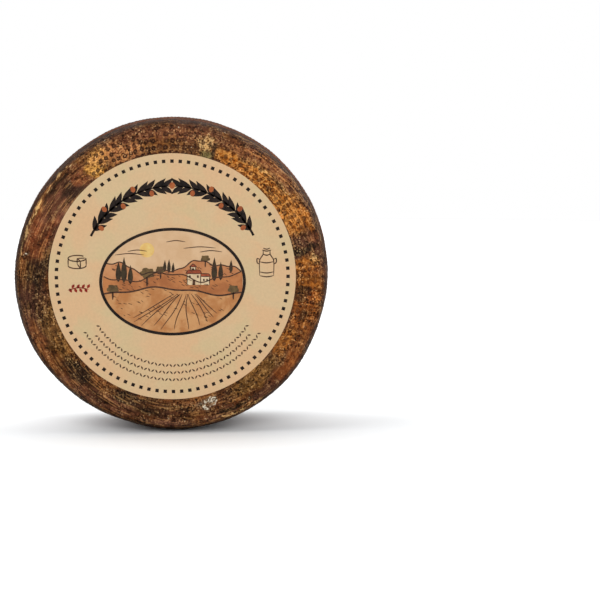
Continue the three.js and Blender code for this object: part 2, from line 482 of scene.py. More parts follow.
def cheese_skin(material):
    piece = new_piece("cheese_skin", turned_skin(), material, "rind", "cheese_wheel")
    mesh = piece.data
    depth = np.empty(len(mesh.vertices))
    mesh.attributes["depth"].data.foreach_get("value", depth)
    formed = shape_rind(coordinates(mesh))
    mesh.vertices.foreach_set("co", formed.ravel())
    mesh.update()
    placed = formed + coordinates(mesh, "normal") * fine_relief(formed, depth)[:, None]
    placed += (AXIS_X, WHEEL_SHIFT, AXIS_Z)
    placed[:, 2] = np.maximum(placed[:, 2], 0)
    mesh.vertices.foreach_set("co", (placed * MM).ravel())
    mesh.attributes["depth"].data.foreach_set("value", depth * MM)

    tone, marks, cover = paint_rind(formed, depth)
    opaque = np.hstack([tone, np.ones((len(tone), 1))])
    for name, values in (("tone", opaque), ("marks", marks), ("cover", cover)):
        layer = mesh.color_attributes.new(name, "FLOAT_COLOR", "POINT")
        layer.data.foreach_set("color", values.astype(np.float32).ravel())
    mesh.polygons.foreach_set("use_smooth", np.ones(len(mesh.polygons), bool))
    mesh.update()
    return piece


# --- Materials ---


class Recipe:
    """The nodes of a material or of the world, written as sums."""

    def __init__(self, owner):
        owner.use_nodes = True
        self.owner = owner
        self.nodes = owner.node_tree.nodes
        self.links = owner.node_tree.links

    def plug(self, socket, value):
        if isinstance(value, bpy.types.NodeSocket):
            self.links.new(value, socket)
        elif socket.type == "RGBA" and len(value) == 3:
            socket.default_value = (*value, 1)
        else:
            socket.default_value = value

    def fill(self, node, inputs):
        """Plugs values or sockets into a node's inputs, each given by its name or number."""
        for key, value in dict(inputs).items():
            self.plug(node.inputs[key], value)
        return node

    def node(self, kind, inputs=()):
        return self.fill(self.nodes.new("ShaderNode" + kind), inputs)

    def sum(self, operation, *values):
        node = self.node("Math")
        node.operation = operation
        return self.fill(node, enumerate(values)).outputs[0]

    def add(self, first, *others):
        for other in others:
            first = self.sum("ADD", first, other)
        return first

    def times(self, first, *others):
        for other in others:
            first = self.sum("MULTIPLY", first, other)
        return first

    def less(self, first, second):
        return self.sum("SUBTRACT", first, second)

    def over(self, first, second):
        return self.sum("DIVIDE", first, second)

    def centred(self, value):
        """A number of 0 to 1 as one of -0.5 to 0.5."""
        return self.less(value, 0.5)

    def length(self, first, second):
        return self.sum("SQRT", self.add(self.times(first, first), self.times(second, second)))

    def ease(self, value, low, high, from_value=0.0, to_value=1.0):
        """value's smooth way from one number to another as it goes from low to high."""
        node = self.node("MapRange")
        node.interpolation_type = "SMOOTHSTEP"
        self.fill(node, {"Value": value, "From Min": low, "From Max": high})
        return self.fill(node, {"To Min": from_value, "To Max": to_value}).outputs[0]

    def mix(self, share, first, second, way="MIX"):
        node = self.node("Mix")
        node.data_type = "RGBA"
        node.blend_type = way
        node.clamp_factor = True
        return self.fill(node, {0: share, 6: first, 7: second}).outputs[2]

    def brighten(self, paint, factor):
        """A paint times a number."""
        node = self.node("VectorMath")
        node.operation = "SCALE"
        return self.fill(node, {0: paint, "Scale": factor}).outputs[0]

    def deepen(self, paint, power):
        """A paint as it looks under oil: darker and more saturated."""
        return self.node("Gamma", {"Color": paint, "Gamma": power}).outputs[0]

    def attribute(self, name, output="Fac"):
        node = self.node("Attribute")
        node.attribute_name = name
        return node.outputs[output]

    def split(self, vector, kind="SeparateXYZ"):
        return self.node(kind, {0: vector}).outputs[:3]

    def join(self, *parts):
        return self.node("CombineXYZ", enumerate(parts)).outputs[0]

    def place(self):
        """The point on the piece, in metres."""
        return self.node("TexCoord").outputs["Object"]

    def noise(self, place, size, detail=4.0, rough=0.55, warp=0.0):
        """Noise of 0 to 1 with lumps of about that size in metres."""
        node = self.node("TexNoise", {"Vector": place, "Scale": 1 / size, "Detail": detail})
        return self.fill(node, {"Roughness": rough, "Distortion": warp}).outputs[0]

    def cells(self, place, size, feature="F1"):
        node = self.node("TexVoronoi", {"Vector": place, "Scale": 1 / size})
        node.feature = feature
        return node.outputs

    def flecks(self, place, size, share, reach, uneven):
        """Crisp little discs of uneven edge, on a share of the cells of that size in metres."""
        cell = self.cells(place, size)
        luck = self.split(cell["Color"], "SeparateColor")[0]
        away = self.add(cell["Distance"], self.times(self.centred(uneven), 0.8))
        chosen = self.ease(luck, share + 0.02, share - 0.02)
        return self.times(self.ease(away, reach + 0.05, reach - 0.05), chosen)

    def chance(self, vector):
        """Three random numbers of 0 to 1 for each whole-numbered vector."""
        return self.split(self.node("TexWhiteNoise", {"Vector": vector}).outputs["Color"], "SeparateColor")

    def bump(self, height, strength):
        """Relief from a height in millimetres."""
        relief = self.node("Bump", {"Strength": strength, "Distance": MM, "Height": height})
        self.fill(self.nodes["Principled BSDF"], {"Normal": relief.outputs[0]})

    def finish(self, paint, roughness, **constants):
        """The material, once its shader has these inputs."""
        inputs = {"Base Color": paint, "Roughness": roughness}
        inputs.update((name.replace("_", " "), value) for name, value in constants.items())
        self.fill(self.nodes["Principled BSDF"], inputs)
        return self.owner


NET_PITCH = 0.0036  # metres between the small rings of the mould's net
RUN_ROUND = 13.0  # how many times slower the drawn-out marks run round the wheel than across it
DRIFT, DRIFT_PHASE = 0.011, -0.7  # how far they drift outwards on the way in metres, and from what angle
WARMTH = (0.98, 0.92, 0.8)  # the oil's own tint
OIL_TINT = (1.0, 0.75, 0.52, 1.0)  # what it gives to reflections
# Painted highlight on the ridges of the grain.
RIDGE_HIGHLIGHT = srgb(240, 206, 152)
CHALK_PALE = srgb(246, 222, 176)
RING_DARK = srgb(70, 38, 18)
# Painted highlight along the threads of the mould's net.
THREAD_HIGHLIGHT = srgb(232, 184, 116)
SCRATCH_PALE = srgb(236, 190, 126)
DIMPLE_DARK = srgb(54, 34, 27)
# The knob's paint on the front and on the side, both partly a painted highlight.
KNOB_FRONT, KNOB_SIDE_HIGHLIGHT = srgb(128, 92, 68), srgb(196, 140, 84)
WALL_PALE = srgb(206, 156, 92)
# Painted glints of light on the bumps.
GLINT_PALE = srgb(252, 224, 176)


def mould_dimples(r, angle, radius, depth, on_side, grit):
    """How far each point is from its dimple's middle, in pitches, and that dimple's luck."""
    pitch = DIMPLE_PITCH * MM
    row = r.sum("FLOOR", r.add(r.over(depth, pitch), 0.5))
    stagger = r.times(on_side, r.sum("FLOORED_MODULO", row, 2.0), 0.5)
    turn = r.add(r.times(angle, DIMPLES_ROUND / (2 * math.pi)), stagger, 0.5)
    column = r.sum("FLOORED_MODULO", r.sum("FLOOR", turn), float(DIMPLES_ROUND))
    luck = r.chance(r.join(column, row, 0.0))
    along = r.add(r.centred(r.sum("FRACT", turn)), r.times(r.centred(luck[0]), 0.3))
    along = r.times(along, r.times(radius, 2 * math.pi / DIMPLES_ROUND / pitch))
    across = r.add(r.less(r.over(depth, pitch), row), r.times(r.centred(luck[1]), 0.3))
    reach = r.add(r.length(along, across), r.times(r.centred(grit), 0.25))
    return r.times(reach, r.add(1.0, r.times(on_side, 0.3))), luck[2]


def rind_finish():
    """Oiled brown rind: mottled tone, dimples of the basket mould, drawn-out streaks, pale specks that are
    painted glints, and painted shade and highlights on the grain.
    """
    r = Recipe(bpy.data.materials.new("oiled_rind"))
    place = r.place()
    x, _, z = r.split(place)
    out_x, out_z = r.less(x, AXIS_X * MM), r.less(z, AXIS_Z * MM)
    radius, angle = r.length(out_x, out_z), r.sum("ARCTAN2", out_z, out_x)
    depth = r.attribute("depth")
    tone = r.attribute("tone", "Color")
    dimpled, streaked, netted = r.split(r.attribute("marks", "Color"), "SeparateColor")
    smooth = r.attribute("marks", "Alpha")
    on_side = r.sum("GREATER_THAN", depth, STAGGER_FROM * MM)
    on_front = r.less(1.0, on_side)

    pace = r.times(radius, RUN_ROUND / (BULGE_RADIUS * MM))
    drift = r.times(r.sum("SINE", r.add(angle, DRIFT_PHASE)), DRIFT)
    drawn = r.join(r.over(out_x, pace), r.over(out_z, pace), r.add(depth, drift))
    lump = r.noise(place, 0.0034, 4.0, 0.55, 0.4)
    grit = r.noise(place, 0.0011, 2.0, 0.5, 0.3)
    streak = r.noise(drawn, 0.0015, 3.0, 0.55, 0.5)
    thin_streak = r.noise(drawn, 0.001, 1.0, 0.4, 0.4)

    # The ground: painted shade darkens the hollows of the grain and a painted highlight pales its ridges,
    # less so on smooth patches.
    rubbed = r.ease(r.noise(place, 0.009, 3.0, 0.5, 0.6), 0.38, 0.62, 0.45, 1.2)
    rough = r.times(rubbed, r.less(1.0, r.times(smooth, 0.75)))
    grain = r.add(
        r.times(r.centred(lump), r.add(0.9, rough)),
        r.times(r.centred(grit), rough, 2.7),
        r.times(r.centred(streak), streaked, 2.8),
    )
    paint = r.mix(r.ease(grain, 0.05, -0.45), tone, r.brighten(r.deepen(tone, 1.35), 0.42))
    pale = r.mix(0.36, r.brighten(tone, 1.6), RIDGE_HIGHLIGHT)
    paint = r.mix(r.times(r.ease(grain, 0.1, 0.5), 0.75), paint, pale)

    # Crusts of gold, dark and pale paint end in crisp ragged edges; the dark one also carries the painted
    # shade in the groove under the lip.
    ragged = r.add(r.times(r.centred(lump), 1.5), r.times(r.centred(grit), 1.1))
    covered = r.split(r.attribute("cover", "Color"), "SeparateColor")
    gilt, dark_crust_and_groove_shade, chalk = (r.ease(r.add(part, ragged), 0.46, 0.58) for part in covered)
    smear = r.ease(r.add(r.attribute("cover", "Alpha"), ragged), 0.42, 0.52)
    paint = r.mix(gilt, r.brighten(paint, 0.88), r.brighten(paint, 1.14))
    paint = r.mix(r.times(dark_crust_and_groove_shade, 0.7), paint, r.brighten(paint, 0.5))
    paint = r.mix(r.times(chalk, 0.8), paint, r.mix(0.5, r.brighten(tone, 1.7), CHALK_PALE))

    # Golden places show the fine net of the mould: small dark rings, with pale threads round them painted
    # as highlights.
    thread = r.cells(place, NET_PITCH, "DISTANCE_TO_EDGE")["Distance"]
    ring = r.sum("ABSOLUTE", r.less(r.cells(place, NET_PITCH)["Distance"], 0.27))
    net = r.times(netted, r.ease(lump, 0.36, 0.5))
    paint = r.mix(r.times(net, r.ease(ring, 0.13, 0.05), 0.75), paint, RING_DARK)
    paint = r.mix(r.times(net, r.ease(thread, 0.1, 0.04), 0.55), paint, THREAD_HIGHLIGHT)
    scratch = r.times(streaked, on_front, r.ease(thin_streak, 0.57, 0.63), r.ease(grit, 0.3, 0.5))
    paint = r.mix(r.times(scratch, 0.8), paint, r.mix(0.5, r.brighten(tone, 2.4), SCRATCH_PALE))

    # A dimple is a dark disc round a paler knob, with a pale wall round it on the front. The knob's
    # paleness is partly a painted highlight on its top, and on the side mostly so.
    reach, luck = mould_dimples(r, angle, radius, depth, on_side, grit)
    presence = r.times(dimpled, r.ease(luck, 0.1, 0.45))
    disc = r.times(presence, r.ease(reach, 0.37, 0.3))
    knob = r.times(presence, r.ease(reach, 0.2, 0.1))
    moat = r.times(presence, r.ease(r.sum("ABSOLUTE", r.less(reach, 0.28)), 0.11, 0.02))
    wall = r.times(presence, r.ease(reach, 0.44, 0.56), on_front)
    paint = r.mix(r.times(disc, r.add(0.8, r.times(on_front, 0.1))), paint, DIMPLE_DARK)
    paint = r.mix(r.times(knob, 0.65), paint, r.mix(on_side, KNOB_FRONT, KNOB_SIDE_HIGHLIGHT))
    paint = r.mix(r.times(wall, 0.3), paint, WALL_PALE)
    # Little real hollows of the relief, darkened with painted shade.
    shaded_pit = r.times(r.flecks(place, 0.0024, 0.5, 0.3, grit), rough)
    paint = r.mix(r.times(shaded_pit, 0.8), paint, r.brighten(r.deepen(tone, 1.35), 0.24))
    # Painted glints: pale specks where light would glint on the bumps.
    glint_fleck = r.times(r.flecks(place, 0.0017, 0.5, 0.26, grit), r.ease(lump, 0.4, 0.54), rough)
    paint = r.mix(r.times(glint_fleck, 0.7), paint, r.mix(0.45, r.brighten(tone, 2.4), GLINT_PALE))
    paint = r.mix(1.0, r.deepen(r.brighten(paint, 1.2), 1.18), WARMTH, "MULTIPLY")
    paint = r.mix(r.times(smear, 0.9), paint, CREAM)

    height = r.add(
        r.centred(lump),
        r.times(r.centred(grit), 0.7),
        r.times(streaked, r.centred(streak), 0.8),
        r.times(knob, 0.22),
        r.times(moat, -0.25),
        r.times(shaded_pit, -0.2),
        r.times(glint_fleck, 0.1),
        r.times(smear, 0.3),
    )
    r.bump(height, 0.9)
    roughness = r.ease(r.noise(place, 0.006, 3.0), 0.3, 0.7, 0.3, 0.5)
    return r.finish(paint, roughness, Specular_IOR_Level=0.16, Specular_Tint=OIL_TINT)


def paper_finish():
    """Cream label paper under a thin watercolour wash."""
    r = Recipe(bpy.data.materials.new("label_paper"))
    place = r.place()
    wash = r.noise(place, 0.034, 3.0, 0.5, 0.8)
    second = r.noise(place, 0.021, 2.0, 0.5, 0.5)
    paint = r.mix(r.ease(wash, 0.36, 0.62), srgb(219, 189, 145), srgb(224, 184, 139))
    paint = r.mix(r.ease(second, 0.46, 0.68, 0.0, 0.6), paint, srgb(212, 190, 143))
    fibre = r.noise(place, 0.0016, 4.0, 0.6)
    paint = r.brighten(paint, r.ease(fibre, 0.3, 0.7, 0.965, 1.03))
    r.bump(r.times(fibre, 0.04), 0.5)
    return r.finish(paint, r.ease(fibre, 0.3, 0.7, 0.5, 0.62), Specular_IOR_Level=0.35)


def ink_finish(name, paint, other, size=0.004):
    """Printed ink that pools a little darker here and there."""
    r = Recipe(bpy.data.materials.new(name))
    pool = r.noise(r.place(), size, 4.0, 0.6, 0.3)
    mixed = r.mix(r.ease(pool, 0.35, 0.65), srgb(*paint), srgb(*other))
    return r.finish(mixed, r.ease(pool, 0.3, 0.7, 0.5, 0.6), Specular_IOR_Level=0.15)


# --- The label and its print ---

PAPER_FACE = PAPER_FRONT + 0.21  # the print fills the rest of the label's thickness
GLUE = 0.28  # how far the paper reaches back into the gap
INK_STEP = 0.03  # how far each layer of ink stands in front of the one before
HATCH_LINE, FINE_LINE, LINE, SKETCH_LINE, BOLD_LINE, FRAME_LINE = 0.36, 0.55, 0.7, 0.75, 1.0, 1.8
BORDER_MARKS, BORDER_MARK, BORDER_RADIUS = 88, 2.15, 72.5  # how many, how wide and how far out
PANEL = np.array((0.0, -3.0))  # the middle of the oval picture
PANEL_WIDE, PANEL_TALL = 45.0, 33.0  # its half axes
GARLAND_RADIUS, GARLAND_REACH = 57.0, 60.0  # the reach is in degrees to each side of the top
LEAF_STEP, OLIVE_STEP = 5.2, 10.4  # degrees from one to the next
GRAIN_RADII = (65.0, 60.5, 56.0)
GRAIN_REACH = 57.0  # degrees to each side of the bottom
GRAIN_STEP = 2.35  # mm from one to the next


def on_label(right, up, layer=0):
    """A place on the label's print, in metres."""
    return Vector(((AXIS_X + right) * MM, (PAPER_FACE - layer * INK_STEP) * MM, (AXIS_Z + up) * MM))


def thicken(bm, thickness):
    """Gives flat shapes a thickness in mm along Y."""
    grown = bmesh.ops.extrude_face_region(bm, geom=bm.faces[:], use_keep_orig=True)
    corners = [v for v in grown["geom"] if isinstance(v, bmesh.types.BMVert)]
    bmesh.ops.translate(bm, verts=corners, vec=(0, thickness * MM, 0))
    bmesh.ops.recalc_face_normals(bm, faces=bm.faces[:])


def face_front(bm, middle):
    """Stands flat shapes up and puts them on the label."""
    bmesh.ops.rotate(bm, verts=bm.verts[:], cent=(0, 0, 0), matrix=Matrix.Rotation(math.pi / 2, 3, "X"))
    bmesh.ops.translate(bm, verts=bm.verts[:], vec=on_label(*middle))


def paper_disc(material):
    bm = bmesh.new()
    bmesh.ops.create_circle(bm, cap_ends=True, segments=256, radius=LABEL_RADIUS * MM)
    face_front(bm, (0, 0))
    thicken(bm, PAPER_BACK + GLUE - PAPER_FACE)
    return new_piece("paper_disc", bm, material, "label_paper", "paper_label")


def printed(name, outlines, layer, material):
    """All the shapes printed in one ink, each from its outline."""
    bm = bmesh.new()
    for outline in outlines:
        bm.faces.new([bm.verts.new(on_label(right, up)) for right, up in outline])
    thicken(bm, -layer * INK_STEP)
    return new_piece(name, bm, material, "label_paper")


def picture_frame(layer, material):
    """An oval line round the picture."""
    bm = bmesh.new()
    for grow in (-FRAME_LINE / 2, FRAME_LINE / 2):
        made = bmesh.ops.create_circle(bm, cap_ends=False, segments=128, radius=1)
        size = ((PANEL_WIDE + grow) * MM, (PANEL_TALL + grow) * MM, 1)
        bmesh.ops.scale(bm, verts=made["verts"], vec=size)
    bmesh.ops.bridge_loops(bm, edges=bm.edges[:])
    face_front(bm, PANEL)
    thicken(bm, -layer * INK_STEP)
    return new_piece("picture_frame", bm, material, "label_paper")


def spot(radius, clock):
    """A point of the label by its distance from the middle and its clock angle in degrees."""
    turn = math.radians(clock)
    return np.array((radius * math.sin(turn), radius * math.cos(turn)))


def blob(middle, half_wide, half_tall, lean=0.0, corners=18):
    """An oval, leaning by some degrees anticlockwise."""
    turn = np.linspace(0, 2 * np.pi, corners, endpoint=False)
    a = math.radians(lean)
    oval = np.stack([half_wide * np.cos(turn), half_tall * np.sin(turn)], 1)
    return middle + oval @ [(math.cos(a), math.sin(a)), (-math.sin(a), math.cos(a))]


def both_sides(path, half_widths):
    """The outline of a line with its own half width at each of its points."""
    path = np.asarray(path, float)
    along = np.gradient(path, axis=0)
    along /= np.linalg.norm(along, axis=1)[:, None]
    aside = np.stack([-along[:, 1], along[:, 0]], 1) * np.asarray(half_widths)[:, None]
    return np.vstack([path + aside, (path - aside)[::-1]])


def flowing(points, steps=6):
    """A smooth line through some points."""
    points = np.asarray(points, float)
    padded = np.vstack([2 * points[0] - points[1], points, 2 * points[-1] - points[-2]])
    t = np.linspace(0, 1, steps, endpoint=False)[:, None]
    runs = [
        0.5 * (2 * b + (c - a) * t + (2 * a - 5 * b + 4 * c - d) * t * t + (3 * b - a - 3 * c + d) * t ** 3)
        for a, b, c, d in zip(padded, padded[1:], padded[2:], padded[3:])
    ]
    return np.vstack([*runs, points[-1:]])


def pen_line(points, width=LINE, steps=6):
    """A line drawn with a pen: thin at both ends."""
    path = flowing(points, steps) if len(points) > 2 else np.linspace(points[0], points[1], 5)
    share = np.linspace(0, 1, len(path))
    return both_sides(path, width / 2 * (0.35 + 0.65 * np.sin(np.pi * share) ** 0.5))


def leaf(base, tip, width, fullest=0.45, bow=0.0):
    """A leaf or a tree of that shape: pointed at the tip, nearly so at the base."""
    base, tip = np.asarray(base, float), np.asarray(tip, float)
    share = np.linspace(0, 1, 9)
    aside = np.array((base[1] - tip[1], tip[0] - base[0]))
    path = base + (tip - base) * share[:, None] + aside * (bow * np.sin(np.pi * share))[:, None]
    power = math.log(0.5) / math.log(fullest)
    return both_sides(path, np.maximum(width / 2 * np.sin(np.pi * share ** power), 0.06))


def ridge(across, base, waves):
    """Height of a hill's ridge at places across the picture."""
    return base + sum(h * np.sin(2 * np.pi * (across - shift) / length) for h, length, shift in waves)


FAR, MIDDLE, NEAR = "far_hills", "middle_hills", "near_field"
RIDGES = {  # height, and waves by their height, length and shift
    FAR: (9.0, [(3.4, 62, 4), (1.3, 23, 9), (0.5, 9, 1)]),
    MIDDLE: (3.0, [(2.6, 48, -16), (1.0, 19, 3)]),
    NEAR: (-6.0, [(2.2, 84, -30), (0.7, 27, 8)]),
}


def hill(name):
    """The part of the oval picture below a ridge."""
    across = np.linspace(-PANEL_WIDE, PANEL_WIDE, 73)[1:-1]
    rim = PANEL_TALL * np.sqrt(1 - (across / PANEL_WIDE) ** 2)
    top = np.minimum(ridge(across, *RIDGES[name]), rim)
    shown = top > -rim + 0.3
    upper = np.stack([across[shown], top[shown]], 1)
    lower = np.stack([across[shown], -rim[shown]], 1)
    return np.vstack([upper, lower[::-1]]) + PANEL


def ridge_line(name, width):
    across = np.linspace(-PANEL_WIDE, PANEL_WIDE, 91)
    heights = ridge(across, *RIDGES[name])
    inside = (across / PANEL_WIDE) ** 2 + (heights / PANEL_TALL) ** 2 < 0.97
    path = np.stack([across, heights], 1)[inside] + PANEL
    return both_sides(path, np.full(len(path), width / 2))


def in_picture(right, name, above=0.0):
    """A place on a ridge of the picture."""
    return np.array((right, ridge(right, *RIDGES[name]) + above)) + PANEL


def furrows():
    """Plough lines that run together towards a far point of the near field."""
    far = np.array((9.0, -3.5))
    for foot in (-39, -31, -23, -15, -7, 1, 9, 17, 25, 33, 40):
        close = np.array((foot, -30.0))
        run = far + (close - far) * np.linspace(0.16, 1, 10)[:, None]
        run[:, 0] += 0.8 * np.sin(np.linspace(0, 5, 10) + foot)
        keep = (run[:, 0] / PANEL_WIDE) ** 2 + (run[:, 1] / PANEL_TALL) ** 2 < 0.9
        if keep.sum() > 3:
            yield pen_line(run[keep] + PANEL, FINE_LINE, 2)


# Trees of the picture: place across it, the ridge each stands on, how far above it, then height and width
# of a cypress or the size of a round tree.
CYPRESSES = [
    (-34, MIDDLE, -1.5, 13, 3.4),
    (-30.5, MIDDLE, -2, 16, 3.8),
    (-26.5, MIDDLE, -2.2, 12, 3.2),
    (-5, FAR, -1, 7, 2.0),
    (-2.4, FAR, -1, 8.5, 2.2),
    (0.2, FAR, -1, 6.5, 1.9),
    (26, MIDDLE, -2, 15, 3.6),
    (30, MIDDLE, -2, 11.5, 3.0),
    (36.5, FAR, -4, 8, 2.2),
]
ROUND_TREES = [
    (-16, MIDDLE, 2.5, 4.4),
    (-7.5, MIDDLE, 1.9, 3.0),
    (20.5, FAR, 1.6, 2.8),
    (38, NEAR, 2.6, 3.4),
    (-37.5, NEAR, 2.2, 3.6),
]


def cypresses():
    for right, name, above, height, width in CYPRESSES:
        foot = in_picture(right, name, above)
        yield leaf(foot, foot + (0.2, height), width, 0.36)


def round_trees():
    for right, name, above, size in ROUND_TREES:
        turn = np.linspace(0, 2 * np.pi, 30, endpoint=False)
        out = size * (1 + 0.12 * np.sin(5 * turn + size) + 0.06 * np.sin(9 * turn))
        yield np.stack([out * np.cos(turn), 0.75 * out * np.sin(turn)], 1) + in_picture(right, name, above)


def trunks():
    for right, name, above, size in ROUND_TREES:
        middle = in_picture(right, name, above)
        yield pen_line([middle - (0, 0.5 * size), middle - (0.1, 1.9 * size)], 0.3 * size)


HOUSE = np.array((9.0, 2.0)) + PANEL  # what the house's other points are counted from
WALLS = [(0, -4, 8.5, 3.2), (8.5, -4, 14, 1.2), (2.2, 3, 5.4, 7.4)]  # left, low, right, high
OPENINGS = [
    (1.2, 0.4, 2.3, 2.0), (6.2, 0.4, 7.3, 2.0), (3.4, -4, 5.1, -0.8),
    (3.2, 5, 4.4, 6.5), (10, -1.6, 11, -0.3), (12, -1.6, 13, -0.3),
]
ROOFS = [
    [(-0.8, 3.0), (9.2, 3.0), (8.0, 5.4), (0.6, 5.4)],
    [(8.5, 1.2), (14.8, 1.2), (13.6, 3.0), (8.5, 3.0)],
    [(1.6, 7.3), (6.0, 7.3), (3.8, 9.4)],
]
EDGES = [
    [(0, -4), (0, 3)], [(8.5, -4), (8.5, 3)], [(14, -4), (14, 1.2)], [(-0.9, 3), (9.3, 3)],
    [(0.6, 5.4), (8, 5.4)], [(-0.8, 3), (0.6, 5.4)], [(8, 5.4), (9.2, 3)], [(2.2, 5.4), (2.2, 7.3)],
    [(5.4, 5.4), (5.4, 7.3)], [(1.5, 7.3), (6.1, 7.3)], [(1.6, 7.3), (3.8, 9.4)], [(3.8, 9.4), (6, 7.3)],
    [(8.5, 1.2), (14.9, 1.2)], [(13.6, 3), (14.8, 1.2)], [(8.5, 3), (13.6, 3)],
]


def boxes(table):
    for left, low, right, high in table:
        yield np.array([(left, low), (right, low), (right, high), (left, high)]) + HOUSE


def clouds():
    for right, up, long in ((-27, 17, 9), (-22, 19.2, 6), (17, 21, 10), (24, 18.6, 7), (2, 25, 6)):
        middle = PANEL + (right, up)
        yield pen_line([middle - (long, 0), middle + (0, 0.9), middle + (long, 0.1)], FINE_LINE)


def hatching():
    """Short pen strokes on the shaded side of the hills, the trees' feet and the field."""
    marks = np.random.RandomState(5)
    for name, count, drop in ((FAR, 34, 5), (MIDDLE, 40, 6), (NEAR, 60, 18)):
        for _ in range(count):
            right = marks.uniform(-38, 38)
            start = in_picture(right, name, -marks.uniform(0.8, drop))
            end = start + (marks.uniform(1.2, 2.6), -marks.uniform(0.4, 1.5))
            level = (end - PANEL) / (PANEL_WIDE, PANEL_TALL)
            if level @ level < 0.86:
                yield pen_line([start, end], HATCH_LINE)


def garland_leaves():
    """Olive leaves in pairs along an arc over the picture, their tips towards the top."""
    for side in (-1, 1):
        for k, clock in enumerate(np.arange(5.5, GARLAND_REACH, LEAF_STEP)):
            for out in (-1, 1):
                foot = clock + 1.6
                turn = math.degrees((8.6 if k % 2 else 7.6) / GARLAND_RADIUS)
                base = spot(GARLAND_RADIUS + 0.3 * out, side * foot)
                tip = spot(GARLAND_RADIUS + 5.0 * out, side * (foot - turn))
                yield leaf(base, tip, 3.1, 0.45, 0.07 * side * out)


def garland_stem():
    """The garland's two stems, which get thicker towards their lower ends."""
    for side in (-1, 1):
        path = [spot(GARLAND_RADIUS, side * clock) for clock in np.linspace(0.6, GARLAND_REACH + 3, 40)]
        yield both_sides(path, np.linspace(0.35, 0.75, 40))


def garland_olives():
    """Olives beside the stems by turns, and one at the top."""
    for side in (-1, 1):
        for k, clock in enumerate(np.arange(10, GARLAND_REACH - 2, OLIVE_STEP)):
            out = 1 if k % 2 else -1
            yield blob(spot(GARLAND_RADIUS + 3.1 * out, side * (clock + 3.6)), 1.9, 1.45, 90 - side * clock)
    yield blob(spot(GARLAND_RADIUS + 0.3, 0), 1.8, 2.1)


def grain_marks():
    """Three fine arcs of grains under the picture, laid like the grains of an ear."""
    for row, radius in enumerate(GRAIN_RADII):
        step = math.degrees(GRAIN_STEP / radius)
        reach = GRAIN_REACH - 4 * (row % 2)
        for k, clock in enumerate(np.arange(180 - reach, 180 + reach, step)):
            lean = 1 if k % 2 else -1
            base = spot(radius - 0.95 * lean, clock)
            tip = spot(radius + 0.95 * lean, clock + 0.7 * step)
            yield leaf(base, tip, 0.95, 0.5)


def border_marks():
    half = BORDER_MARK / 2
    square = [(-half, -half), (half, -half), (half, half), (-half, half)]
    for i in range(BORDER_MARKS):
        out = spot(1, 360 * i / BORDER_MARKS)
        side = np.array((out[1], -out[0]))
        yield [(BORDER_RADIUS + a) * out + b * side for a, b in square]


def cheese_sketch():
    """A whole wheel with a wedge cut out, drawn with the pen at the left of the picture."""
    middle = np.array((-59.5, 9.5))
    for up, start, end, corners in ((2.5, math.pi / 4, 2 * math.pi, 22), (-2.0, math.pi, 2 * math.pi, 13)):
        turns = np.linspace(start, end, corners)
        arc = [middle + (5.6 * math.cos(a), up + 1.9 * math.sin(a)) for a in turns]
        yield both_sides(arc, np.full(corners, SKETCH_LINE / 2))
    for start, end in (((-5.6, 2.5), (-5.6, -2.0)), ((5.6, 2.5), (5.6, -2.0)), ((0, 2.5), (2.0, 0.7)),
                       ((0, 2.5), (5.4, 2.7)), ((2.0, 0.7), (2.0, -3.8)), ((0, 2.5), (0, -1.0)),
                       ((0, -1.0), (2.0, -3.8))):
        yield pen_line([middle + start, middle + end], SKETCH_LINE)


CAN_SIDE = ((4.4, -8), (4.5, 1), (3.0, 4.2), (2.2, 5.6), (2.2, 8.2))
CAN_HANDLE = ((4.2, 2.2), (6.0, 2.8), (5.9, 0.2), (4.5, -0.6))
CAN_HOOPS = ((-8, 4.4), (-5.6, 4.4), (0.8, 4.5), (5.6, 2.3), (8.2, 2.9), (9.4, 2.2))  # height, half width


def can_sketch():
    """A milk can drawn with the pen at the right of the picture."""
    middle = np.array((59.0, 8.5))
    for way in (-1, 1):
        for points, line in ((CAN_SIDE, LINE), (CAN_HANDLE, SKETCH_LINE)):
            yield pen_line([middle + (way * x, y) for x, y in points], line)
    for up, half in CAN_HOOPS:
        yield pen_line([middle + (-half, up), middle + (0, up - 0.7), middle + (half, up)], SKETCH_LINE)


def berry_sprig():
    """A small red sprig under the sketch of the cheese."""
    middle = np.array((-59.0, -7.0))
    yield pen_line([middle + (-6.5, -1), middle + (0, 0.6), middle + (6.5, -0.4)], SKETCH_LINE)
    for k, right in enumerate(np.linspace(-5.6, 5.6, 8)):
        foot = middle + (right, 0.2)
        way = 1 if k % 2 else -1
        yield leaf(foot, foot + (1.6, 2.6 * way), 1.8, 0.5)


